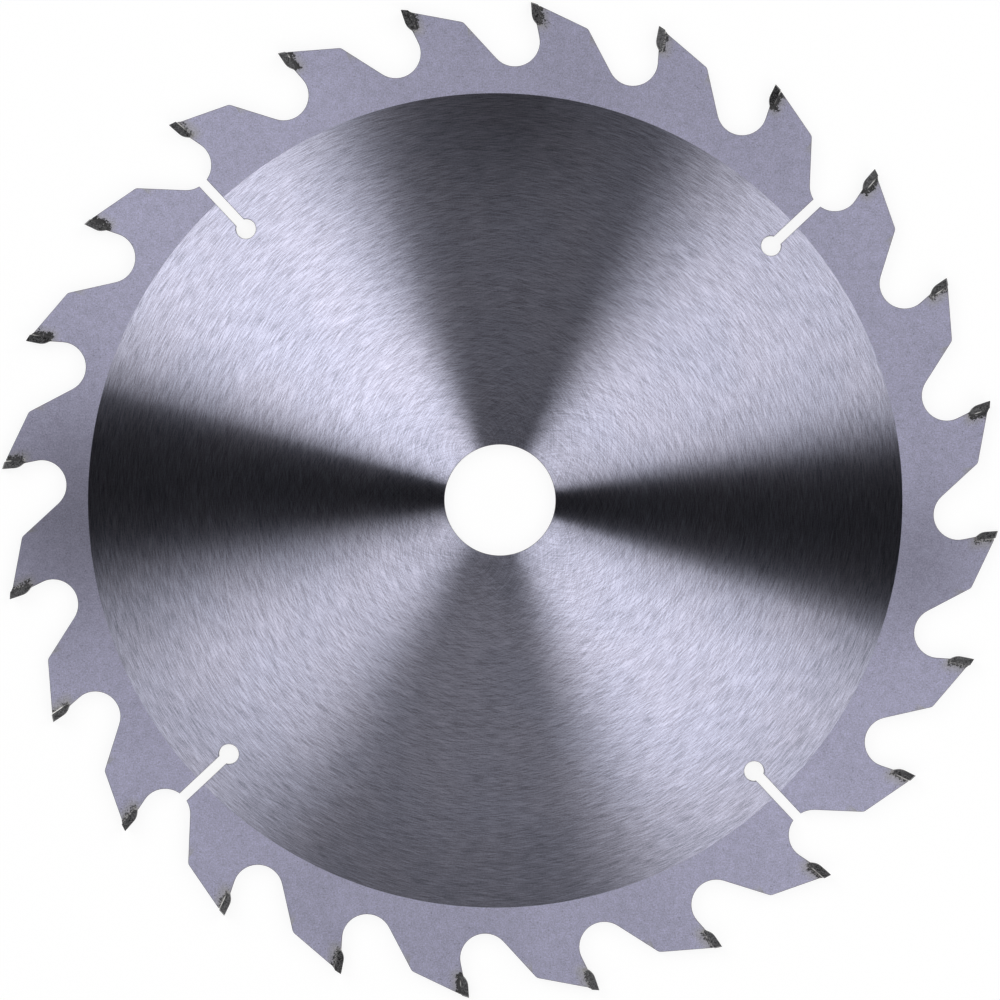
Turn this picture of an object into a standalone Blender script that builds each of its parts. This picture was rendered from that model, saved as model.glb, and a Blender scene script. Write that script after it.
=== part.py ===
"""A circular saw blade with brazed carbide tips, lying flat.

Metres, with +Z along the arbor axis. The origin is the centre of the bore at half the plate's thickness.
Seen from +Z, the tips face anticlockwise, which is the way this side of the blade turns as it cuts.
"""

import math

import bmesh
import bpy
from mathutils import Matrix, Vector

# The blade as a whole
BLADE_DIAMETER = 0.180  # across the cutting edges
BORE_DIAMETER = 0.020
PLATE_THICKNESS = 0.0016
TOOTH_COUNT = 24
FIRST_TOOTH_DEG = 11.45  # from +X to the first cutting edge

# The carbide tips
TIP_LENGTH = 0.0041  # down the rake face
TIP_THICKNESS = 0.00125  # from the rake face to the back
TIP_OVERHANG = 0.0005  # on each side of the plate, which sets the kerf
TIP_CHAMFER_WIDTH = 0.00076  # how much of the thickness the chamfer at the foot takes
TIP_CHAMFER_DEG = 36.0  # between the chamfer and the rake face
TIP_CHAMFER_BLEND = 0.0024  # radius where the rake face turns into the chamfer
HOOK_DEG = 7.5  # the rake face leans forwards by this from the radius
TOP_CLEARANCE_DEG = 14.0
TOP_BEVEL_DEG = 10.0  # the top slopes to one side, on alternate sides from tip to tip
RADIAL_CLEARANCE_DEG = 1.2  # the sides close in towards the arbor
TANGENTIAL_CLEARANCE_DEG = 3.0  # the sides close in towards the back
GRINDING_STOCK = 0.0003  # how much larger the blank is than the ground tip
BRAZE_JOINT = 0.0003  # between a tip and the steel, behind it and under it

# The teeth and the gullets of the plate
BACK_CLEARANCE_DEG = 22.0  # the tooth's back falls by this from the tangent
BACK_BELOW_EDGE = 0.0001  # the line of the back passes this far under the cutting edge
FRONT_LEAN_DEG = 15.0  # the steel under the tip leans by this from the radius
GULLET_DEPTH = 0.0119  # from the cutting circle to the gullet floor
GULLET_RADIUS = 0.0045
FLANK_LEAN_DEG = 44.5  # the flank rises from the gullet at this angle to the radius
HEEL_RADIUS = 0.0011  # where the back turns down into the flank

# The expansion slots
SLOT_COUNT = 4
FIRST_SLOT_TOOTH = 2  # the slot starts in the gullet in front of this tooth, counted from 0
SLOT_WIDTH = 0.0018
SLOT_LENGTH = 0.0112  # from the gullet floor to the centre of the drilled end
SLOT_HOLE_DIAMETER = 0.0036

# The fineness of the arcs
ARC_STEP_DEG = 9.0
BLEND_STEP_DEG = 12.0
BORE_SEGMENTS = 96
SHARP_ABOVE_DEG = 20.0

# Sizes that follow
TIP_RADIUS = BLADE_DIAMETER / 2
ROOT_RADIUS = TIP_RADIUS - GULLET_DEPTH
PITCH_DEG = 360.0 / TOOTH_COUNT
KERF = PLATE_THICKNESS + 2 * TIP_OVERHANG
CUTTER_HEIGHT = 3 * PLATE_THICKNESS

STEEL_COLOUR = (0.30, 0.29, 0.37, 1.0)
CARBIDE_COLOUR = (0.055, 0.055, 0.058, 1.0)


def clear_scene():
    for obj in list(bpy.data.objects):
        bpy.data.objects.remove(obj, do_unlink=True)


def principled(name, colour, metallic, roughness):
    material = bpy.data.materials.new(name)
    material.use_nodes = True
    shader = material.node_tree.nodes["Principled BSDF"]
    shader.inputs["Base Color"].default_value = colour
    shader.inputs["Metallic"].default_value = metallic
    shader.inputs["Roughness"].default_value = roughness
    material.diffuse_color = colour
    return material


def add_object(name, mesh, material=None):
    obj = bpy.data.objects.new(name, mesh)
    bpy.context.scene.collection.objects.link(obj)
    if material:
        mesh.materials.append(material)
    return obj


def direction(degrees):
    """The unit vector at this angle from +X, anticlockwise."""
    return Vector((math.cos(math.radians(degrees)), math.sin(math.radians(degrees))))


def angle_of(vector):
    return math.degrees(math.atan2(vector.y, vector.x))


def turned(point, degrees):
    return Matrix.Rotation(math.radians(degrees), 2) @ point


def lines_meet(point_a, along_a, point_b, along_b):
    """Where two endless lines cross."""
    across = along_a.x * along_b.y - along_a.y * along_b.x
    between = point_b - point_a
    return point_a + along_a * ((between.x * along_b.y - between.y * along_b.x) / across)


def arc(centre, radius, start_deg, sweep_deg, step_deg):
    """Points along an arc, both ends included."""
    steps = max(2, math.ceil(abs(sweep_deg) / step_deg))
    return [centre + direction(start_deg + sweep_deg * i / steps) * radius for i in range(steps + 1)]


def rounded_corner(corner, towards_start, towards_end, radius, step_deg):
    """The corner between two lines as an arc, from the first line to the second."""
    half = towards_start.angle(towards_end) / 2
    bisector = (towards_start + towards_end).normalized()
    centre = corner + bisector * (radius / math.sin(half))
    reach = radius / math.tan(half)
    start = angle_of(corner + towards_start * reach - centre)
    end = angle_of(corner + towards_end * reach - centre)
    sweep = (end - start + 180.0) % 360.0 - 180.0
    return arc(centre, radius, start, sweep, step_deg)


# The tooth is drawn with its cutting edge on +X. Down the rake face is towards the arbor and into the tooth,
# and behind it is clockwise.
EDGE = Vector((TIP_RADIUS, 0.0))
DOWN_RAKE = -direction(HOOK_DEG)
BEHIND_RAKE = direction(HOOK_DEG - 90.0)
DOWN_CHAMFER = -direction(HOOK_DEG + TIP_CHAMFER_DEG)
DOWN_FRONT = -direction(FRONT_LEAN_DEG)
ALONG_BACK = -direction(90.0 - BACK_CLEARANCE_DEG)


def chamfer_foot():
    """Where the chamfer reaches the bottom of the tip."""
    return EDGE + DOWN_RAKE * TIP_LENGTH + BEHIND_RAKE * TIP_CHAMFER_WIDTH


def seat_points():
    """The notch that holds the tip, from the tooth's back down to its lip over the gullet."""
    wall = EDGE + BEHIND_RAKE * (TIP_THICKNESS + BRAZE_JOINT)
    ledge = EDGE + DOWN_RAKE * (TIP_LENGTH + BRAZE_JOINT)
    back = EDGE - Vector((BACK_BELOW_EDGE, 0.0))
    top = lines_meet(wall, DOWN_RAKE, back, ALONG_BACK)
    inner = lines_meet(wall, DOWN_RAKE, ledge, BEHIND_RAKE)
    lip = lines_meet(chamfer_foot(), DOWN_FRONT, ledge, BEHIND_RAKE)
    return [top, inner, lip]


def gullet_centre():
    """The centre of the arc that touches both the steel front under the lip and the root circle."""
    lip = seat_points()[-1]
    ahead = direction(FRONT_LEAN_DEG + 90.0)
    start = lip + ahead * GULLET_RADIUS
    reach = ROOT_RADIUS + GULLET_RADIUS
    along = start.dot(DOWN_FRONT)
    return start - DOWN_FRONT * (along + math.sqrt(along**2 - start.length_squared + reach**2))


def gullet_points():
    """The gullet in front of the tooth, from the steel front to the start of the next flank."""
    centre = gullet_centre()
    flank_deg = angle_of(centre) + FLANK_LEAN_DEG
    start = FRONT_LEAN_DEG - 90.0
    end = flank_deg + 90.0 - 360.0
    return arc(centre, GULLET_RADIUS, start, end - start, ARC_STEP_DEG)


def heel_points():
    """The rounded heel of the tooth in front, where its flank meets its back."""
    up_flank = direction(angle_of(gullet_centre()) + FLANK_LEAN_DEG)
    back = turned(EDGE - Vector((BACK_BELOW_EDGE, 0.0)), PITCH_DEG)
    along_back = turned(ALONG_BACK, PITCH_DEG)
    heel = lines_meet(gullet_points()[-1], up_flank, back, along_back)
    return rounded_corner(heel, -up_flank, -along_back, HEEL_RADIUS, BLEND_STEP_DEG)


def plate_outline():
    one_tooth = seat_points() + gullet_points() + heel_points()
    return [turned(p, tooth_angle(tooth)) for tooth in range(TOOTH_COUNT) for p in one_tooth]


def tooth_angle(tooth):
    return FIRST_TOOTH_DEG + tooth * PITCH_DEG


def extruded(name, outline, height):
    """A flat plate of this outline, half of its height on each side of the XY plane."""
    bm = bmesh.new()
    face = bm.faces.new([bm.verts.new((p.x, p.y, -height / 2)) for p in outline])
    raised = bmesh.ops.extrude_face_region(bm, geom=[face])["geom"]
    corners = [item for item in raised if isinstance(item, bmesh.types.BMVert)]
    bmesh.ops.translate(bm, verts=corners, vec=(0.0, 0.0, height))
    bmesh.ops.recalc_face_normals(bm, faces=bm.faces)
    mesh = bpy.data.meshes.new(name)
    bm.to_mesh(mesh)
    bm.free()
    shade_walls(mesh)
    return mesh


def shade_walls(mesh):
    """Smooth shading round the walls, with flat faces and real corners left crisp."""
    mesh.shade_smooth()
    mesh.set_sharp_from_angle(angle=math.radians(SHARP_ABOVE_DEG))
    for polygon in mesh.polygons:
        polygon.use_smooth = abs(polygon.normal.z) < 0.5


def slot_outline():
    """A slot along +X with its round end, long enough to run out through the gullet floor."""
    half_width = SLOT_WIDTH / 2
    hole_radius = SLOT_HOLE_DIAMETER / 2
    centre = Vector((ROOT_RADIUS - SLOT_LENGTH, 0.0))
    opening = math.degrees(math.asin(half_width / hole_radius))
    hole = arc(centre, hole_radius, opening, 360.0 - 2 * opening, ARC_STEP_DEG)
    mouth = ROOT_RADIUS + GULLET_RADIUS
    return hole + [Vector((mouth, -half_width)), Vector((mouth, half_width))]


def cut(target, name, outline, turn_deg=0.0):
    cutter = add_object(name, extruded(name, outline, CUTTER_HEIGHT))
    cutter.rotation_euler.z = math.radians(turn_deg)
    cutter.hide_render = True
    cutter.display_type = "WIRE"
    modifier = target.modifiers.new(name, "BOOLEAN")
    modifier.operation = "DIFFERENCE"
    modifier.object = cutter


def make_plate(material):
    plate = add_object("saw_plate", extruded("saw_plate", plate_outline(), PLATE_THICKNESS), material)
    bore = arc(Vector((0.0, 0.0)), BORE_DIAMETER / 2, 0.0, 360.0, 360.0 / BORE_SEGMENTS)[:-1]
    cut(plate, "bore_cutter", bore)
    for slot in range(SLOT_COUNT):
        tooth = FIRST_SLOT_TOOTH + slot * TOOTH_COUNT // SLOT_COUNT
        turn = tooth_angle(tooth) + angle_of(gullet_centre())
        cut(plate, f"slot_cutter_{slot + 1}", slot_outline(), turn)
    return plate


def grind(bm, point, normal):
    """Takes off what lies outside a plane and closes the ground face."""
    everything = bm.verts[:] + bm.edges[:] + bm.faces[:]
    ground = bmesh.ops.bisect_plane(
        bm, geom=everything, plane_co=point, plane_no=normal, clear_outer=True
    )
    rim = [item for item in ground["geom_cut"] if isinstance(item, bmesh.types.BMEdge)]
    bmesh.ops.contextual_create(bm, geom=rim)


def blank_outline():
    """The side view of a tip before its top and sides are ground, seen from its cutting edge."""
    above = EDGE - DOWN_RAKE * GRINDING_STOCK
    turn = lines_meet(EDGE, DOWN_RAKE, chamfer_foot(), DOWN_CHAMFER)
    blend = rounded_corner(turn, -DOWN_RAKE, DOWN_CHAMFER, TIP_CHAMFER_BLEND, BLEND_STEP_DEG)
    bottom_back = EDGE + DOWN_RAKE * TIP_LENGTH + BEHIND_RAKE * TIP_THICKNESS
    top_back = above + BEHIND_RAKE * TIP_THICKNESS
    return [p - EDGE for p in [above] + blend + [chamfer_foot(), bottom_back, top_back]]


def tip_mesh(name, high_side):
    """One ground tip. Its origin is the middle of the cutting edge, and high_side, 1 or -1, is the side of the
    plate on which its top stands highest."""
    bm = bmesh.new()
    blank = extruded(name, blank_outline(), KERF + 2 * GRINDING_STOCK)
    bm.from_mesh(blank)
    closing_in = math.tan(math.radians(RADIAL_CLEARANCE_DEG))
    closing_back = math.tan(math.radians(TANGENTIAL_CLEARANCE_DEG))
    for side in (-1, 1):
        grind(bm, Vector((0.0, 0.0, side * KERF / 2)), Vector((-closing_in, -closing_back, side)))
    back_fall = math.tan(math.radians(TOP_CLEARANCE_DEG))
    side_fall = math.tan(math.radians(TOP_BEVEL_DEG))
    high_corner = Vector((0.0, 0.0, high_side * KERF / 2))
    grind(bm, high_corner, Vector((1.0, -back_fall, -high_side * side_fall)))
    bmesh.ops.recalc_face_normals(bm, faces=bm.faces)
    bm.to_mesh(blank)
    bm.free()
    blank.shade_smooth()
    blank.set_sharp_from_angle(angle=math.radians(SHARP_ABOVE_DEG))
    return blank


def make_tips(plate, material):
    meshes = [tip_mesh("carbide_tip_high_left", 1), tip_mesh("carbide_tip_high_right", -1)]
    for mesh in meshes:
        mesh.materials.append(material)
    for tooth in range(TOOTH_COUNT):
        tip = add_object(f"carbide_tip_{tooth + 1:02d}", meshes[tooth % 2])
        tip.location.xy = turned(EDGE, tooth_angle(tooth))
        tip.rotation_euler.z = math.radians(tooth_angle(tooth))
        tip.parent = plate


def main():
    clear_scene()
    steel = principled("plate_steel", STEEL_COLOUR, metallic=1.0, roughness=0.42)
    carbide = principled("tungsten_carbide", CARBIDE_COLOUR, metallic=0.6, roughness=0.6)
    plate = make_plate(steel)
    make_tips(plate, carbide)


main()
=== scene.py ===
"""The looks of a circular saw blade with brazed carbide tips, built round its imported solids.

Metres, in the solids' own frame: the blade lies flat, +Z is the arbor axis, and the camera is straight above.
Inside the materials, places are in millimetres, which keeps the patterns' numbers readable.
"""

import math
import random

import bmesh
import bpy
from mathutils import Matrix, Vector
from mathutils.geometry import delaunay_2d_cdt


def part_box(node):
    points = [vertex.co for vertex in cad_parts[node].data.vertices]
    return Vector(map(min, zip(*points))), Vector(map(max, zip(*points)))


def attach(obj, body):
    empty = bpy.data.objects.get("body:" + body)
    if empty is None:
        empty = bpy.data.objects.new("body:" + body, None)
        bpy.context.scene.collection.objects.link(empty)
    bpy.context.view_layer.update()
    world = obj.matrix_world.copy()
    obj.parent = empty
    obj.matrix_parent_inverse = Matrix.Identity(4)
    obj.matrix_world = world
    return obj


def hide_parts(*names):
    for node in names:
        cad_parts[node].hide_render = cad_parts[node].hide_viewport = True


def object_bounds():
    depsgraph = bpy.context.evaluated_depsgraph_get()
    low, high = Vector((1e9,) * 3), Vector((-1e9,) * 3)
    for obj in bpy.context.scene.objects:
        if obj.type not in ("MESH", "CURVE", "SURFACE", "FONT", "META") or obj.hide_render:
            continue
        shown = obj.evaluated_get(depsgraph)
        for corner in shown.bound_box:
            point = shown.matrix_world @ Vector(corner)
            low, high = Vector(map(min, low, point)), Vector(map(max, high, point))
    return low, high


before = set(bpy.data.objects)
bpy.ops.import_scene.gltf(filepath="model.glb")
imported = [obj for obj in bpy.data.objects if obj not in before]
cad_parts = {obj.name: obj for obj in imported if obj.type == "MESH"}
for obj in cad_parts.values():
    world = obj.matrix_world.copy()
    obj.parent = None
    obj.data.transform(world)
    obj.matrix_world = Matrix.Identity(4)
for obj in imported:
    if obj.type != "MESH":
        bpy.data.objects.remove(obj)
CAD_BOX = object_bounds()

# What the solids say
HALF_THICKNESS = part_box("saw_plate")[1].z
TIP_NODES = sorted(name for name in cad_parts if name.startswith("carbide_tip_"))
LOWEST = CAD_BOX[0].z
HOOK_DEG = 7.5  # the rake face leans forwards by this from the radius
MM = 0.001
WELD = 0.000001  # corners nearer than this are one corner
SAME_PLACE = 0.00002  # corners nearer than this count as level with each other
FACES_UP = 0.9  # the least upward part of a top face's normal
FLAT_DEG = 0.2  # faces that meet at less than this are one face
INSIDE_OUTLINES = 1  # the triangulation keeps what lies inside the outlines it is given
CAP_TOLERANCE = 1e-9

# The plate
GROUND_RADIUS = 0.0733  # the ground disc inside the blasted rim
GROUND_CENTRE = Vector((-0.00086, -0.00007))  # the blasting mask sat a little to one side
GROUND_STEPS = 360
SLOT_STEPS = 12  # an arc with fewer steps than this crosses a slot
EDGE_BREAK = 0.00008  # the deburred edges
PLATE_SHARP_DEG = 50  # edges sharper than this are shaded crisp
GROUND, BLASTED, CUT = range(3)  # the plate's materials

# Painted shade, where the steel's reflections are darker: the middle and the reach in millimetres, and how
# dark
PAINTED_SHADE_ON_RIM = [((-75.0, -2.6), 34.0, 0.52), ((74.3, -10.4), 21.0, 0.74)]
PAINTED_SHADE_ON_DISC = [((1.0, 74.0), 30.0, 0.50)]

# The tips
TIP_EDGE_BREAK = 0.00003
TIP_EDGE_DEG = 25  # edges sharper than this are broken
TIP_SHARP_DEG = 20

# The braze
FILLET_WIDTH = 0.00022
FILLET_HEIGHT = 0.00026
BRAZE_JOINT = 0.0003
BRAZE_STARTS = 0.00012  # how far it starts below the tip's top corners
BRAZE_STEPS = 9  # along each of the two sides of a joint
BRAZE_BITE = 0.00002  # how far the braze runs into the steel
BRAZE_SHARP_DEG = 60
BRAZE_SEED = 24
FILLET_WIDTHS = (0.55, 1.5)  # how much narrower and wider than its size a fillet runs
FILLET_HEIGHTS = (0.7, 1.2)
FILLET_HOLLOW = (0.42, 0.30)  # a point on its hollow face, as shares of its width and its height

# The metals' colours
GROUND_STEEL = (0.45, 0.445, 0.55, 1.0)
GROUND_STEEL_COOL = (0.428, 0.430, 0.54, 1.0)
BLASTED_STEEL = (0.520, 0.512, 0.660, 1.0)
CUT_STEEL = (0.17, 0.165, 0.18, 1.0)
CARBIDE = (0.118, 0.117, 0.121, 1.0)
BRAZE_SILVER = (0.78, 0.77, 0.75, 1.0)
BURNT_FLUX = (0.045, 0.044, 0.046, 1.0)
FLUX_FLECK = (0.42, 0.41, 0.40, 1.0)
HEAT_TINT = (0.475, 0.465, 0.475, 1.0)

# The wheel's passes over the plate: each scratch follows a circle round one of these centres, in millimetres
SCRATCH_CENTRES = [(0.0, 0.0), (11.0, 0.0), (-5.5, 9.5), (-5.5, -9.5)]
SCRATCH_WEIGHTS = [0.8, 1.0, 1.0, 1.0]
SCRATCH_LENGTH = 2.8
SCRATCH_SPACING = 0.12
PASS_SHIFT = 17.0  # keeps the marks of one pass clear of another's pattern

# How the ground steel shines: the two flanks of its fine grooves, and a broad glow
FINE_ROUGHNESS = 0.20
BROAD_ROUGHNESS = 0.285
BROAD_SHARE = 0.30
INNER_FLANK_SHARE = 0.30
GROOVE_SLOPE = 0.45  # the flanks lean this much outwards and inwards
STEEL_LOBES = [(FINE_ROUGHNESS, GROOVE_SLOPE), (FINE_ROUGHNESS, -GROOVE_SLOPE), (BROAD_ROUGHNESS, 0.0)]
QUARTER_TURN = 0.25  # turns a highlight's stretch from along the grooves to across them
GROOVE_WANDER = 0.02  # how far the grooves' direction wanders in bands, in turns
BANDS_ALONG = 0.12  # how fine the bands are along the grooves and across them
BANDS_ACROSS = 1.6

# How dark and how light each pattern makes its metal: a factor, or what it adds to one
SCRATCH_TONES = (0.70, 1.30)
GRIND_GRAIN_TONES = (-0.22, 0.22)
BLAST_TONES = (0.30, 1.70)
PATCH_TONES = (-0.14, 0.14)
CLOUD_TONES = (-0.10, 0.10)
PIT_TONE = -0.22
CUT_LINE_TONES = (0.70, 1.30)
MILL_SCALE_TONES = (-0.15, 0.15)
CARBIDE_GRAIN_TONES = (-1.0, 3.0)
BLOTCH_TONES = (-0.8, 0.8)
DARKEST_CARBIDE = 0.15
FLUX_TONES = (0.0, 3.0)
DULL_BRAZE_TONES = (0.5, 1.1)
BRIGHT_BRAZE_TONES = (0.7, 1.3)

# Painted shade on the disc's colour, from one radius to another, in millimetres: darker towards its edge,
# more at the front (-Y) than at the back, and darker towards its bore
PAINTED_SHADE_TO_EDGE = (50.0, 74.0)
EDGE_PAINTED_SHADE = (0.78, 0.94)
FRONT_TO_BACK = (-45.0, 45.0)
PAINTED_SHADE_TO_BORE = (26.0, 12.0)
BORE_PAINTED_SHADE = 0.86

# How rough the other metals are
BLASTED_ROUGHNESS = (0.60, 0.72)
BLASTED_METALLIC = 0.9
BLASTED_STRETCH = 0.6
CUT_ROUGHNESS = (0.38, 0.62)
CARBIDE_ROUGHNESS = (0.44, 0.66)
BRAZE_ROUGHNESS = (0.62, 0.38)  # where it is dull and where it ran clean
BRAZE_METALLIC = (0.3, 1.0)
GRAIN_HEIGHT = 0.00002  # how high the bumps of a metal's grain stand, in metres
BLAST_STRENGTH = 0.8
RIPPLE_HEIGHT = 0.00006
CUT_LINE_STRETCH = 0.06  # the cut walls' marks run from face to face

# Heat tint and burnt flux, from nothing to full, in millimetres past a tip's back and below its foot
TINT_PAST = (2.6, 0.6)
TINT_BELOW = (2.2, 0.2)
TINT_COVER = 0.7
FLUX_PAST = (1.5, 0.3)
FLUX_BELOW = (1.0, 0.0)
FLUX_WANDERS = 2.0  # its edge runs in and out within this width
FLUX_THICKENS = 0.34  # how much more of the mottle is crust close to a joint
FLUX_CRUSTS = (0.60, 0.74)
OWN_TOOTH = 0.3  # the flux fades out this far in front of its own tip's face

# Specks of flux farther out, in millimetres past a tip's back and below its cutting edge
STRAY_PAST = (5.0, 1.5)
STRAY_DOWN = (8.0, 4.0)
STRAY_COVER = 0.8

# Where the braze ran clean, in millimetres past a tip's back and below its foot
CLEAN_PAST = (0.20, 0.12)
CLEAN_BELOW = (-0.4, -1.2)

# The stage
CAMERA_LENS = 200.0
SENSOR_WIDTH = 36.0
VIEW_WIDTH = 0.180  # the photograph's edges touch the cutting circle
FLOOR_SIZE = 40.0
FLOOR_WHITE = (0.93, 0.93, 0.93, 1.0)
FLOOR_OWN_LIGHT = 0.86  # the part of the white that is the backdrop's own
FLOOR_SHADED = (0.19, 0.19, 0.19, 1.0)  # the matte colour that adds the rest where no shadow lies

# Each lamp is an upright soft panel: the azimuths in degrees at which its light starts, is full, starts to
# fade and has faded, the azimuth at which the panel ends, and its brightness
LAMPS = [
    ("lamp_right", 5.5, 17.0, 45.0, 68.0, 68.0, 1.87),
    ("lamp_back", 62.0, 76.0, 94.0, 108.0, 108.0, 0.08),
    ("lamp_left", 106.5, 128.0, 147.0, 172.0, 164.0, 2.36),
    ("lamp_low_left", 191.0, 211.0, 220.0, 243.0, 243.0, 1.33),
    ("lamp_front", 226.0, 246.0, 278.0, 298.0, 298.0, 0.50),
    ("lamp_low_right", 279.0, 300.0, 321.0, 354.0, 341.0, 1.62),
]
LAMP_DISTANCE = 0.9
LAMP_LOW_DEG = 25.0  # the elevations that each panel spans, as seen from the blade
LAMP_HIGH_DEG = 74.0

# The world's light by the height of the direction, from pale round the horizon to dark overhead
HORIZON_HEIGHT = 0.06
OVERHEAD_HEIGHT = 0.30
HORIZON_LIGHT = 0.80
OVERHEAD_LIGHT = 0.004


class Graph:
    """A material's node tree, with short names for the nodes that the patterns use."""

    def __init__(self, name):
        self.material = bpy.data.materials.new(name)
        self.material.use_nodes = True
        self.tree = self.material.node_tree
        self.shader = self.tree.nodes["Principled BSDF"]

    def put(self, socket, value):
        """Links a node's output to a socket, or sets the socket to a constant."""
        if isinstance(value, bpy.types.NodeSocket):
            self.tree.links.new(value, socket)
        else:
            socket.default_value = value

    def node(self, kind, inputs=(), **settings):
        """A new node with its settings made and its inputs linked or set."""
        made = self.tree.nodes.new(kind)
        for key, value in settings.items():
            setattr(made, key, value)
        for key, value in dict(inputs).items():
            self.put(made.inputs[key], value)
        return made

    def math(self, operation, a, b=0.0):
        return self.node("ShaderNodeMath", {0: a, 1: b}, operation=operation).outputs[0]

    def add(self, a, b):
        return self.math("ADD", a, b)

    def times(self, a, b):
        return self.math("MULTIPLY", a, b)

    def joined(self, x, y, z):
        return self.node("ShaderNodeCombineXYZ", {"X": x, "Y": y, "Z": z}).outputs[0]

    def noise(self, vector, scale=1.0, detail=2.0, roughness=0.5):
        inputs = {"Vector": vector, "Scale": scale, "Detail": detail, "Roughness": roughness}
        return self.node("ShaderNodeTexNoise", inputs).outputs["Fac"]

    def ramp(self, value, start, end, low=0.0, high=1.0):
        """A smooth step from low at start to high at end."""
        inputs = {"Value": value, "From Min": start, "From Max": end, "To Min": low, "To Max": high}
        made = self.node("ShaderNodeMapRange", inputs, interpolation_type="SMOOTHSTEP")
        return made.outputs[0]

    def spread(self, value, low, high):
        """A value from 0 to 1 laid out from low to high."""
        inputs = {"Value": value, "To Min": low, "To Max": high}
        return self.node("ShaderNodeMapRange", inputs).outputs[0]

    def mixed(self, share, a, b, blend="MIX"):
        """Two colours: all a where the share is 0, and all b where it is 1."""
        made = self.node("ShaderNodeMix", data_type="RGBA", blend_type=blend)
        self.put(made.inputs[0], share)
        self.put(made.inputs[6], a)
        self.put(made.inputs[7], b)
        return made.outputs[2]

    def shaded(self, colour, value):
        """A colour made lighter or darker by a value round 1."""
        grey = self.node("ShaderNodeCombineColor", {0: value, 1: value, 2: value}).outputs[0]
        return self.mixed(1.0, colour, grey, "MULTIPLY")

    def bump(self, height, distance, strength=1.0):
        inputs = {"Height": height, "Distance": distance, "Strength": strength}
        return self.node("ShaderNodeBump", inputs).outputs[0]

    def pointing(self, operation, inputs):
        """A direction worked out by a vector operation."""
        return self.node("ShaderNodeVectorMath", inputs, operation=operation).outputs[0]

    def place(self):
        """The object's own coordinates in millimetres, as a vector and as x, y and z."""
        own = self.node("ShaderNodeTexCoord").outputs["Object"]
        scaled = self.pointing("SCALE", {0: own, "Scale": 1 / MM})
        parts = self.node("ShaderNodeSeparateXYZ", {0: scaled}).outputs
        return scaled, parts[0], parts[1], parts[2]

    def round_the_axis(self):
        """The direction of the circles round the arbor axis."""
        return self.node("ShaderNodeTangent", direction_type="RADIAL", axis="Z").outputs[0]

    def radius(self, x, y, centre=(0.0, 0.0)):
        across = self.add(x, -centre[0])
        along = self.add(y, -centre[1])
        squares = self.add(self.times(across, across), self.times(along, along))
        return self.math("SQRT", squares)

    def covered_by(self, shader):
        """The material with its surface taken from another shader than its first."""
        out = next(n for n in self.tree.nodes if n.type == "OUTPUT_MATERIAL")
        self.put(out.inputs["Surface"], shader)
        return self.material

    def finish(self, colour, roughness, metallic, normal):
        """The material with its first shader's main sockets filled."""
        self.put(self.shader.inputs["Base Color"], colour)
        self.put(self.shader.inputs["Roughness"], roughness)
        self.put(self.shader.inputs["Metallic"], metallic)
        self.put(self.shader.inputs["Normal"], normal)
        return self.material


def scratches(g, x, y):
    """Grinding marks, from 0 to 1 round a middle of 0.5, that cross each other at small angles."""
    total = 0.5
    for layer, (centre, weight) in enumerate(zip(SCRATCH_CENTRES, SCRATCH_WEIGHTS)):
        across = g.times(g.radius(x, y, centre), 1 / SCRATCH_SPACING)
        vector = g.joined(
            g.add(g.times(x, 1 / SCRATCH_LENGTH), PASS_SHIFT * layer),
            g.times(y, 1 / SCRATCH_LENGTH),
            across,
        )
        marks = g.noise(vector, detail=0.0)
        total = g.add(total, g.times(g.add(marks, -0.5), weight))
    return total


def with_painted_shade(g, value, x, y, places):
    """The value with the places of painted shade worked into it."""
    for middle, reach, depth in places:
        value = g.times(value, g.ramp(g.radius(x, y, middle), 0.0, reach, depth, 1.0))
    return value


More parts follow.
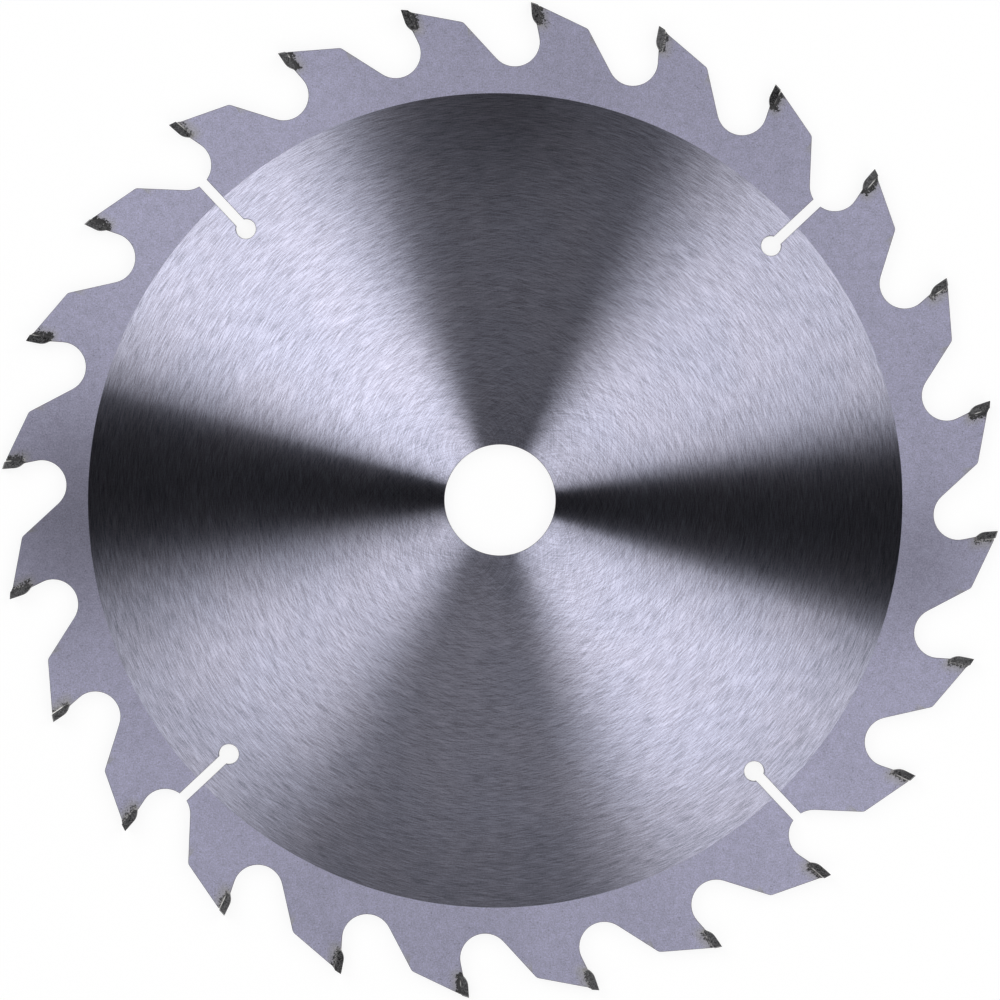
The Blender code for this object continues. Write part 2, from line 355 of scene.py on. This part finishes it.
def ground_steel():
    """The ground disc: bright steel with circular grinding marks, which stretch its highlights into fans.

    Each flank of the fine grooves has a narrow lobe of its own, which gives the fans their crisp edges, and a
    broad lobe gives the soft glow between them.
    """
    g = Graph("ground_steel")
    vector, x, y = g.place()[:3]
    radius = g.radius(x, y)
    cloudy = g.noise(vector, scale=0.06, detail=3.0)
    colour = g.mixed(g.ramp(cloudy, 0.35, 0.65), GROUND_STEEL, GROUND_STEEL_COOL)
    grain = g.noise(vector, scale=4.6, detail=0.0)
    value = g.add(g.spread(scratches(g, x, y), *SCRATCH_TONES), g.spread(grain, *GRIND_GRAIN_TONES))
    # Painted shade: the disc's colour darkens towards its edge, more at the front, towards its bore, and in
    # its listed places
    shade_at_edge = g.ramp(y, *FRONT_TO_BACK, *EDGE_PAINTED_SHADE)
    shade_towards_edge = g.ramp(radius, *PAINTED_SHADE_TO_EDGE, 1.0, shade_at_edge)
    shade_towards_bore = g.ramp(radius, *PAINTED_SHADE_TO_BORE, 1.0, BORE_PAINTED_SHADE)
    value = with_painted_shade(g, g.times(value, g.times(shade_towards_edge, shade_towards_bore)), x, y, PAINTED_SHADE_ON_DISC)
    colour = g.shaded(colour, value)
    tangent = g.round_the_axis()
    stretched = g.joined(g.times(x, BANDS_ALONG), g.times(y, BANDS_ALONG), g.times(radius, BANDS_ACROSS))
    bands = g.noise(stretched, detail=1.0)
    turned = g.spread(bands, QUARTER_TURN - GROOVE_WANDER, QUARTER_TURN + GROOVE_WANDER)
    flat = g.node("ShaderNodeNewGeometry").outputs["Normal"]
    outwards = g.pointing("CROSS_PRODUCT", {0: tangent, 1: flat})
    lobes = []
    for roughness, slope in STEEL_LOBES:
        shader = g.node("ShaderNodeBsdfPrincipled") if lobes else g.shader
        lean = g.pointing("SCALE", {0: outwards, "Scale": slope})
        normal = g.pointing("NORMALIZE", {0: g.pointing("ADD", {0: flat, 1: lean})})
        g.put(shader.inputs["Base Color"], colour)
        g.put(shader.inputs["Normal"], normal)
        g.put(shader.inputs["Tangent"], tangent)
        shader.inputs["Roughness"].default_value = roughness
        shader.inputs["Metallic"].default_value = 1.0
        shader.inputs["Anisotropic"].default_value = 1.0
        g.put(shader.inputs["Anisotropic Rotation"], turned)
        lobes.append(shader.outputs[0])
    flanks = g.node("ShaderNodeMixShader", {0: INNER_FLANK_SHARE, 1: lobes[0], 2: lobes[1]}).outputs[0]
    return g.covered_by(g.node("ShaderNodeMixShader", {0: BROAD_SHARE, 1: flanks, 2: lobes[2]}).outputs[0])


def near_tips(g, x, y):
    """How many millimetres a place lies below the nearest cutting edge, and past the back of its tip."""
    first = tooth_angle(TIP_NODES[0])
    pitch = 2 * math.pi / len(TIP_NODES)
    radius = g.radius(x, y)
    angle = g.math("ARCTAN2", y, x)
    turned = g.add(g.math("FLOORED_MODULO", g.add(angle, pitch / 2 - first), pitch), -pitch / 2)
    outwards = g.add(g.times(radius, g.math("COSINE", turned)), -TIP_RADIUS / MM)
    ahead = g.times(radius, g.math("SINE", turned))
    hook = math.radians(HOOK_DEG)
    down = g.add(g.times(outwards, -math.cos(hook)), g.times(ahead, -math.sin(hook)))
    behind = g.add(g.times(outwards, math.sin(hook)), g.times(ahead, -math.cos(hook)))
    return down, g.add(behind, -TIP_DEPTH)


def below_foot(g, down, reach):
    """A smooth step from 0 to 1 between two depths below a tip's foot."""
    starts, full = reach
    return g.ramp(down, TIP_HEIGHT + starts, TIP_HEIGHT + full)


def burnt_flux(g, vector, down, past):
    """Mottled flux crust round each joint: how much of it covers the metal, from 0 to 1, and its colour."""
    wander = g.times(g.add(g.noise(vector, scale=0.8, detail=2.0), -0.5), FLUX_WANDERS)
    mottle = g.noise(vector, scale=3.3, detail=2.0, roughness=0.7)
    dirty = g.ramp(g.noise(vector, scale=0.06, detail=0.0), 0.36, 0.60, -0.16, 0.06)
    own_tooth = g.ramp(past, -TIP_DEPTH - OWN_TOOTH, -TIP_DEPTH)
    near = g.ramp(g.add(past, wander), *FLUX_PAST)
    close = g.times(near, below_foot(g, g.add(down, wander), FLUX_BELOW))
    crust = g.ramp(g.add(g.add(mottle, dirty), g.times(close, FLUX_THICKENS)), *FLUX_CRUSTS)
    around = g.times(g.ramp(past, *STRAY_PAST), g.ramp(down, *STRAY_DOWN))
    stray = g.times(g.ramp(mottle, 0.62, 0.70), around)
    cover = g.math("MAXIMUM", g.times(crust, g.ramp(close, 0.0, 0.25)), g.times(stray, STRAY_COVER))
    flecks = g.ramp(g.noise(vector, scale=2.7, detail=1.0, roughness=0.7), 0.66, 0.72)
    tone = g.shaded(BURNT_FLUX, g.spread(mottle, *FLUX_TONES))
    return g.times(cover, own_tooth), g.mixed(flecks, tone, FLUX_FLECK)


def blasted_steel():
    """The toothed rim: matte blasted steel, with heat tint and burnt flux round each brazed joint."""
    g = Graph("blasted_steel")
    vector, x, y = g.place()[:3]
    grain = g.noise(vector, scale=3.6, detail=3.0, roughness=0.8)
    patches = g.noise(vector, scale=0.8, detail=2.0)
    clouds = g.noise(vector, scale=0.05, detail=2.0)
    pits = g.ramp(g.noise(vector, scale=1.9, detail=1.0), 0.30, 0.22)
    value = g.add(g.spread(grain, *BLAST_TONES), g.spread(patches, *PATCH_TONES))
    value = g.add(value, g.spread(clouds, *CLOUD_TONES))
    # The rim's colour darkened in its places of painted shade
    value = with_painted_shade(g, g.add(value, g.times(pits, PIT_TONE)), x, y, PAINTED_SHADE_ON_RIM)
    colour = g.shaded(BLASTED_STEEL, value)
    down, past = near_tips(g, x, y)
    tinted = g.times(g.ramp(past, *TINT_PAST), below_foot(g, down, TINT_BELOW))
    colour = g.mixed(g.times(tinted, TINT_COVER), colour, g.shaded(HEAT_TINT, value))
    crust, crust_colour = burnt_flux(g, vector, down, past)
    colour = g.mixed(crust, colour, crust_colour)
    g.put(g.shader.inputs["Tangent"], g.round_the_axis())
    g.shader.inputs["Anisotropic"].default_value = BLASTED_STRETCH
    g.shader.inputs["Anisotropic Rotation"].default_value = QUARTER_TURN
    bumps = g.bump(grain, GRAIN_HEIGHT, BLAST_STRENGTH)
    return g.finish(colour, g.spread(grain, *BLASTED_ROUGHNESS), BLASTED_METALLIC, bumps)


def cut_steel():
    """The laser-cut walls of the outline and slots, and the turned wall of the bore."""
    g = Graph("cut_steel")
    vector, x, y, z = g.place()
    lines = g.noise(g.joined(x, y, g.times(z, CUT_LINE_STRETCH)), scale=7.0, detail=2.0)
    mill_scale = g.noise(vector, scale=1.1, detail=3.0)
    value = g.add(g.spread(lines, *CUT_LINE_TONES), g.spread(mill_scale, *MILL_SCALE_TONES))
    colour = g.shaded(CUT_STEEL, value)
    return g.finish(colour, g.spread(mill_scale, *CUT_ROUGHNESS), 1.0, g.bump(lines, GRAIN_HEIGHT))


def carbide():
    """Sintered carbide: charcoal grey with a fine grain, ground on every face."""
    g = Graph("tungsten_carbide")
    vector = g.place()[0]
    grain = g.noise(vector, scale=4.0, detail=2.0, roughness=0.7)
    blotches = g.noise(vector, scale=1.5, detail=2.0)
    tone = g.noise(vector, scale=0.05, detail=0.0)
    value = g.add(g.spread(grain, *CARBIDE_GRAIN_TONES), g.spread(blotches, *BLOTCH_TONES))
    value = g.math("MAXIMUM", g.add(value, g.spread(tone, *BLOTCH_TONES)), DARKEST_CARBIDE)
    colour = g.shaded(CARBIDE, value)
    return g.finish(colour, g.spread(grain, *CARBIDE_ROUGHNESS), 1.0, g.bump(grain, GRAIN_HEIGHT))


def braze_metal():
    """Silver braze in the joint itself, bright where it ran clean, and flux crust over the rest."""
    g = Graph("silver_braze")
    vector, x, y = g.place()[:3]
    ripples = g.noise(vector, scale=2.6, detail=3.0, roughness=0.6)
    down, past = near_tips(g, x, y)
    runs_clean = g.ramp(g.noise(vector, scale=0.24, detail=2.0), 0.52, 0.60)
    in_joint = g.times(g.ramp(past, *CLEAN_PAST), below_foot(g, down, CLEAN_BELOW))
    clean = g.times(runs_clean, in_joint)
    crust, crust_colour = burnt_flux(g, vector, down, past)
    dull = g.shaded(g.mixed(crust, HEAT_TINT, crust_colour), g.spread(ripples, *DULL_BRAZE_TONES))
    bright = g.shaded(BRAZE_SILVER, g.spread(ripples, *BRIGHT_BRAZE_TONES))
    colour = g.mixed(clean, dull, bright)
    roughness = g.spread(clean, *BRAZE_ROUGHNESS)
    return g.finish(colour, roughness, g.spread(clean, *BRAZE_METALLIC), g.bump(ripples, RIPPLE_HEIGHT))


def points_of(node):
    """A node's corners."""
    return [v.co.copy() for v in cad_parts[node].data.vertices]


def tooth_angle(node):
    """Where a tip's cutting edge lies round the axis, in radians from +X."""
    farthest = sorted(points_of(node), key=lambda p: -p.xy.length)[0]
    return math.atan2(farthest.y, farthest.x)


def tip_axes(node):
    """The directions down a tip's rake face and straight behind it."""
    turn = tooth_angle(node) + math.radians(HOOK_DEG)
    return -Vector((math.cos(turn), math.sin(turn))), Vector((math.sin(turn), -math.cos(turn)))


def tip_reach(node):
    """How far a tip reaches down and behind from its cutting edge, in metres."""
    down, behind = tip_axes(node)
    corners = [p.xy for p in points_of(node)]
    edge = max(corners, key=lambda p: p.length)
    return max((p - edge).dot(down) for p in corners), max((p - edge).dot(behind) for p in corners)


TIP_RADIUS = max(p.xy.length for p in points_of(TIP_NODES[0]))
TIP_HEIGHT, TIP_DEPTH = (length / MM for length in tip_reach(TIP_NODES[0]))


def welded(node):
    """A node's mesh as a bmesh with its corners joined and its flat faces made whole."""
    bm = bmesh.new()
    bm.from_mesh(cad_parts[node].data)
    bmesh.ops.remove_doubles(bm, verts=bm.verts, dist=WELD)
    bmesh.ops.dissolve_limit(bm, angle_limit=math.radians(FLAT_DEG), verts=bm.verts, edges=bm.edges)
    return bm


def add_piece(name, mesh, materials):
    """A new piece that rides with the blade."""
    piece = bpy.data.objects.new(name, mesh)
    bpy.context.scene.collection.objects.link(piece)
    for material in materials:
        mesh.materials.append(material)
    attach(piece, "root")
    return piece


def rim_loops(node):
    """The closed outlines round the top face of a flat node, each with the metal on its left."""
    bm = bmesh.new()
    bm.from_mesh(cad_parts[node].data)
    bmesh.ops.remove_doubles(bm, verts=bm.verts, dist=WELD)
    bm.verts.ensure_lookup_table()
    bm.verts.index_update()
    following = {}
    for face in bm.faces:
        if face.normal.z < FACES_UP:
            continue
        for loop in face.loops:
            other = [f for f in loop.edge.link_faces if f is not face]
            if other[0].normal.z < FACES_UP:
                following[loop.vert.index] = loop.link_loop_next.vert.index
    loops = []
    while following:
        start = next(iter(following))
        chain = [start]
        index = following.pop(start)
        while index != start:
            chain.append(index)
            index = following.pop(index)
        loops.append([bm.verts[i].co.xy.copy() for i in chain])
    bm.free()
    return loops


def split_at_circle(loop, centre, radius):
    """The outline with a corner added wherever it crosses a circle, and the indices of those corners."""
    points, crossings = [], []
    for i, point in enumerate(loop):
        points.append(point)
        after = loop[(i + 1) % len(loop)]
        start, along = point - centre, after - point
        if (start.length - radius) * ((after - centre).length - radius) >= 0:
            continue
        a, b, c = along.length_squared, start.dot(along), start.length_squared - radius**2
        root = math.sqrt(b * b - a * c)
        share = next(t for t in ((-b - root) / a, (-b + root) / a) if 0 < t < 1)
        crossings.append(len(points))
        points.append(point + along * share)
    return points, crossings


def inset(loop, distance):
    """The outline moved into the metal by a distance."""
    moved = []
    for i, point in enumerate(loop):
        before = (point - loop[i - 1]).normalized()
        after = (loop[(i + 1) % len(loop)] - point).normalized()
        left_before = Vector((-before.y, before.x))
        left_after = Vector((-after.y, after.x))
        mitre = (left_before + left_after) / (1 + left_before.dot(left_after))
        moved.append(point + mitre * distance)
    return moved


def ground_arcs(ends, centre, radius):
    """The circle's corners between each pair of slots, as chains that start and end on the outline."""
    chains = []
    by_angle = sorted(ends, key=lambda p: math.atan2(p.y - centre.y, p.x - centre.x))
    angles = [math.atan2(p.y - centre.y, p.x - centre.x) for p in by_angle]
    for i in range(len(by_angle)):
        start, end = angles[i], angles[(i + 1) % len(angles)]
        sweep = (end - start) % (2 * math.pi)
        steps = round(GROUND_STEPS * sweep / (2 * math.pi))
        if steps < SLOT_STEPS:
            continue
        inner = [start + sweep * k / steps for k in range(1, steps)]
        arc = [centre + Vector((math.cos(a), math.sin(a))) * radius for a in inner]
        chains.append([by_angle[i]] + arc + [by_angle[(i + 1) % len(by_angle)]])
    return chains


def fill_cap(loops, chains):
    """Triangles over the metal inside the loops: the corners, and each triangle with whether it is ground."""
    corners, edges, faces = [], [], []
    outer = max(range(len(loops)), key=lambda k: max(p.length for p in loops[k]))
    for k, loop in enumerate(loops):
        round_loop = list(range(len(corners), len(corners) + len(loop)))
        corners += loop
        faces.append(round_loop if k == outer else round_loop[::-1])
    where = {tuple(p): i for i, p in enumerate(corners)}
    for chain in chains:
        indices = []
        for point in chain:
            if tuple(point) not in where:
                where[tuple(point)] = len(corners)
                corners.append(point)
            indices.append(where[tuple(point)])
        edges += list(zip(indices, indices[1:]))
    found = delaunay_2d_cdt(corners, edges, faces, INSIDE_OUTLINES, CAP_TOLERANCE, True)
    points, triangles, sources = found[0], found[2], found[5]
    metal = [t for t, s in zip(triangles, sources) if s == [outer]]
    # The disc's outline has straight sides, whose middles lie this far out
    ground_reach = GROUND_RADIUS * math.cos(math.pi / GROUND_STEPS)
    kept = []
    for triangle in metal:
        middle = sum((points[i] for i in triangle), Vector((0.0, 0.0))) / 3
        kept.append((triangle, (middle - GROUND_CENTRE).length < ground_reach))
    return points, kept


def cut_walls(bm, loops):
    """The walls of the outlines with rounded edges. Gives the corners of their lowest and highest rings."""
    half_turn = EDGE_BREAK * (1 - math.sqrt(0.5))
    above = [
        (HALF_THICKNESS - EDGE_BREAK, 0.0),
        (HALF_THICKNESS - half_turn, half_turn),
        (HALF_THICKNESS, EDGE_BREAK),
    ]
    levels = [(-z, distance) for z, distance in reversed(above)] + above
    lowest, highest = [], []
    for loop in loops:
        rings = []
        for z, distance in levels:
            rings.append([bm.verts.new((p.x, p.y, z)) for p in inset(loop, distance)])
        for lower, upper in zip(rings, rings[1:]):
            for i in range(len(loop)):
                j = (i + 1) % len(loop)
                wall = bm.faces.new((lower[i], lower[j], upper[j], upper[i]))
                wall.material_index = CUT
                wall.smooth = True
                wall.normal_flip()
        lowest += rings[0]
        highest += rings[-1]
    return lowest, highest


def plate_piece():
    """The plate with deburred edges, its ground disc, its blasted rim and its cut walls."""
    loops, crossing_lists = [], []
    for loop in rim_loops("saw_plate"):
        points, crossings = split_at_circle(loop, GROUND_CENTRE, GROUND_RADIUS)
        loops.append(points)
        crossing_lists.append(crossings)
    bm = bmesh.new()
    rims = cut_walls(bm, loops)
    flat = [inset(loop, EDGE_BREAK) for loop in loops]
    ends = [flat[k][i] for k, crossings in enumerate(crossing_lists) for i in crossings]
    points, triangles = fill_cap(flat, ground_arcs(ends, GROUND_CENTRE, GROUND_RADIUS))
    for side, rim in zip((-1, 1), rims):
        verts = rim + [bm.verts.new((p.x, p.y, side * HALF_THICKNESS)) for p in points[len(rim):]]
        for triangle, ground in triangles:
            face = bm.faces.new([verts[i] for i in triangle[::side]])
            face.material_index = GROUND if ground else BLASTED
            face.smooth = False
    mesh = bpy.data.meshes.new("blade_plate")
    bm.normal_update()
    bm.to_mesh(mesh)
    bm.free()
    mesh.set_sharp_from_angle(angle=math.radians(PLATE_SHARP_DEG))
    piece = add_piece("blade_plate", mesh, [ground_steel(), blasted_steel(), cut_steel()])
    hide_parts("saw_plate")


def tip_piece(node, material):
    """A ground tip with its edges just broken."""
    bm = welded(node)
    bent = math.radians(TIP_EDGE_DEG)
    sharp = [e for e in bm.edges if len(e.link_faces) == 2 and e.calc_face_angle() > bent]
    bmesh.ops.bevel(
        bm, geom=sharp, offset=TIP_EDGE_BREAK, segments=2, profile=0.5, affect="EDGES", clamp_overlap=True
    )
    name = node.replace("carbide_tip", "ground_tip")
    mesh = bpy.data.meshes.new(name)
    bm.to_mesh(mesh)
    bm.free()
    mesh.shade_smooth()
    mesh.set_sharp_from_angle(angle=math.radians(TIP_SHARP_DEG))
    piece = add_piece(name, mesh, [material])
    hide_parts(node)


def joint_lines(node, plate_points):
    """The corners of a tip's brazed joint: on the tip, for its upper and its lower side, and on the steel.

    The top bevel leaves one side of the tip shorter, so the braze starts lower there.
    """
    down, behind = tip_axes(node)
    corners = points_of(node)
    thickness = max(p.xy.dot(behind) for p in corners)
    bottom = max(p.xy.dot(down) for p in corners)
    at_back = [p for p in corners if thickness - p.xy.dot(behind) < SAME_PLACE]
    at_bottom = [p for p in corners if bottom - p.xy.dot(down) < SAME_PLACE]
    tops = []
    for side in (1, -1):
        on_side = [p for p in at_back if p.z * side > 0]
        tops.append(min(on_side, key=lambda p: p.xy.dot(down)).xy)
    heel = max(at_back, key=lambda p: p.xy.dot(down)).xy
    foot = min(at_bottom, key=lambda p: p.xy.dot(behind)).xy
    steel = []
    highest = min(tops, key=lambda p: p.dot(down))
    for corner, outwards in ((highest, behind), (heel, behind + down), (foot, down)):
        guess = corner + outwards * BRAZE_JOINT
        steel.append(min(plate_points, key=lambda p: (p - guess).length))
    steel[0] = steel[0] + down * BRAZE_STARTS
    return [[top + down * BRAZE_STARTS, heel, foot] for top in tops], steel


def braze_stations(node, plate_points):
    """The places where a joint's braze is drawn: behind the tip and then under it."""
    on_tip, on_steel = joint_lines(node, plate_points)
    stations = []
    for part in range(2):
        for step in range(part, BRAZE_STEPS + 1):
            share = step / BRAZE_STEPS
            nears = [line[part].lerp(line[part + 1], share) for line in on_tip]
            stations.append((nears, on_steel[part].lerp(on_steel[part + 1], share)))
    return stations


def braze_piece(node, material, plate_points, chance):
    """The braze of one tip: it fills the joint and stands in a small hollow fillet on both sides."""
    bm = bmesh.new()
    rings = []
    for nears, far in braze_stations(node, plate_points):
        across = min((far - near for near in nears), key=lambda gap: gap.length)
        reach = far + across.normalized() * FILLET_WIDTH * chance.uniform(*FILLET_WIDTHS)
        height = FILLET_HEIGHT * chance.uniform(*FILLET_HEIGHTS)
        profile = []
        for side, near in zip((1, -1), nears):
            half = [
                (near, HALF_THICKNESS + height),
                (near.lerp(reach, FILLET_HOLLOW[0]), HALF_THICKNESS + height * FILLET_HOLLOW[1]),
                (reach, HALF_THICKNESS + BRAZE_BITE),
                (far, HALF_THICKNESS - BRAZE_BITE),
            ]
            profile += [(point, z * side) for point, z in half[::side]]
        rings.append([bm.verts.new((point.x, point.y, z)) for point, z in profile])
    for before, after in zip(rings, rings[1:]):
        for i in range(len(before)):
            j = (i + 1) % len(before)
            bm.faces.new((before[i], before[j], after[j], after[i]))
    bm.faces.new(rings[0][::-1])
    bm.faces.new(rings[-1])
    bmesh.ops.recalc_face_normals(bm, faces=bm.faces)
    name = node.replace("carbide_tip", "braze")
    mesh = bpy.data.meshes.new(name)
    bm.to_mesh(mesh)
    bm.free()
    mesh.shade_smooth()
    mesh.set_sharp_from_angle(angle=math.radians(BRAZE_SHARP_DEG))
    add_piece(name, mesh, [material])


def floor_material():
    """Pale matte floor: most of its white is its own where the camera or a polished face sees it."""
    g = Graph("floor_white")
    g.tree.nodes.remove(g.shader)
    rays = g.node("ShaderNodeLightPath").outputs
    seen = g.math("MAXIMUM", rays["Is Camera Ray"], rays["Is Glossy Ray"])
    seen = g.math("MAXIMUM", seen, rays["Is Transmission Ray"])
    matte = g.node("ShaderNodeBsdfDiffuse", {"Color": FLOOR_WHITE}).outputs[0]
    shaded = g.node("ShaderNodeBsdfDiffuse", {"Color": FLOOR_SHADED}).outputs[0]
    white = g.node("ShaderNodeEmission", {"Strength": FLOOR_OWN_LIGHT}).outputs[0]
    backdrop = g.node("ShaderNodeAddShader", {0: white, 1: shaded}).outputs[0]
    mixed = g.node("ShaderNodeMixShader", {0: seen, 1: matte, 2: backdrop}).outputs[0]
    return g.covered_by(mixed)


def make_floor():
    """A wide floor that touches the lowest point of the tips."""
    half = FLOOR_SIZE / 2
    mesh = bpy.data.meshes.new("floor")
    corners = [(-half, -half, LOWEST), (half, -half, LOWEST), (half, half, LOWEST), (-half, half, LOWEST)]
    mesh.from_pydata(corners, [], [(0, 1, 2, 3)])
    mesh.materials.append(floor_material())
    floor = bpy.data.objects.new("floor", mesh)
    bpy.context.scene.collection.objects.link(floor)


def make_camera():
    """Straight above the arbor axis, so far up that the cutting circle fills the photograph's width."""
    data = bpy.data.cameras.new("camera")
    data.lens = CAMERA_LENS
    data.sensor_width = SENSOR_WIDTH
    camera = bpy.data.objects.new("camera", data)
    bpy.context.scene.collection.objects.link(camera)
    camera.location = (0.0, 0.0, HALF_THICKNESS + VIEW_WIDTH * CAMERA_LENS / SENSOR_WIDTH)
    bpy.context.scene.camera = camera


def soft_sides(data, starts, full, fades, faded):
    """Lets a panel's light rise and fade across its width, at these shares of it."""
    data.use_nodes = True
    tree = data.node_tree
    across = tree.nodes.new("ShaderNodeSeparateXYZ")
    tree.links.new(tree.nodes.new("ShaderNodeNewGeometry").outputs["Parametric"], across.inputs[0])
    both = tree.nodes.new("ShaderNodeMath")
    both.operation = "MULTIPLY"
    for i, (dark, bright) in enumerate(((starts, full), (faded, fades))):
        side = tree.nodes.new("ShaderNodeMapRange")
        side.interpolation_type = "SMOOTHSTEP"
        side.inputs["From Min"].default_value = dark
        side.inputs["From Max"].default_value = bright
        tree.links.new(across.outputs["X"], side.inputs["Value"])
        tree.links.new(side.outputs[0], both.inputs[i])
    tree.links.new(both.outputs[0], tree.nodes["Emission"].inputs["Strength"])


def make_lamps():
    """The soft panels round the blade, each upright and facing the axis."""
    low = LAMP_DISTANCE * math.tan(math.radians(LAMP_LOW_DEG))
    high = LAMP_DISTANCE * math.tan(math.radians(LAMP_HIGH_DEG))
    for name, starts, full, fades, faded, ends, brightness in LAMPS:
        turn = math.radians((starts + ends) / 2)
        reach = math.tan(math.radians((ends - starts) / 2))
        data = bpy.data.lights.new(name, "AREA")
        data.shape = "RECTANGLE"
        data.size = 2 * LAMP_DISTANCE * reach
        data.size_y = high - low
        # The power that makes the panel itself as bright as that
        data.energy = brightness * math.pi * data.size * data.size_y
        shares = [0.5 + math.tan(math.radians(a) - turn) / (2 * reach) for a in (starts, full, fades, faded)]
        soft_sides(data, *shares)
        lamp = bpy.data.objects.new(name, data)
        bpy.context.scene.collection.objects.link(lamp)
        lamp.location = (LAMP_DISTANCE * math.cos(turn), LAMP_DISTANCE * math.sin(turn), (low + high) / 2)
        lamp.rotation_euler = (math.pi / 2, 0.0, turn + math.pi / 2)
        lamp.visible_camera = False


def make_world():
    """Dark overhead, as behind a camera, and pale round the horizon."""
    world = bpy.data.worlds.new("studio")
    world.use_nodes = True
    tree = world.node_tree
    background = tree.nodes["Background"]
    direction = tree.nodes.new("ShaderNodeTexCoord")
    parts = tree.nodes.new("ShaderNodeSeparateXYZ")
    ramp = tree.nodes.new("ShaderNodeMapRange")
    ramp.interpolation_type = "SMOOTHSTEP"
    ramp.inputs["From Min"].default_value = HORIZON_HEIGHT
    ramp.inputs["From Max"].default_value = OVERHEAD_HEIGHT
    ramp.inputs["To Min"].default_value = HORIZON_LIGHT
    ramp.inputs["To Max"].default_value = OVERHEAD_LIGHT
    tree.links.new(direction.outputs["Generated"], parts.inputs[0])
    tree.links.new(parts.outputs["Z"], ramp.inputs["Value"])
    tree.links.new(ramp.outputs[0], background.inputs["Strength"])
    background.inputs["Color"].default_value = (1.0, 1.0, 1.0, 1.0)
    bpy.context.scene.world = world


def main():
    """Builds the blade's pieces and their stage."""
    plate_piece()
    tip_material = carbide()
    braze_material = braze_metal()
    plate_points = [p.xy for p in points_of("saw_plate")]
    chance = random.Random(BRAZE_SEED)
    for node in TIP_NODES:
        tip_piece(node, tip_material)
        braze_piece(node, braze_material, plate_points, chance)
    make_floor()
    make_camera()
    make_lamps()
    make_world()
    bpy.context.scene.view_settings.view_transform = "Standard"


main()
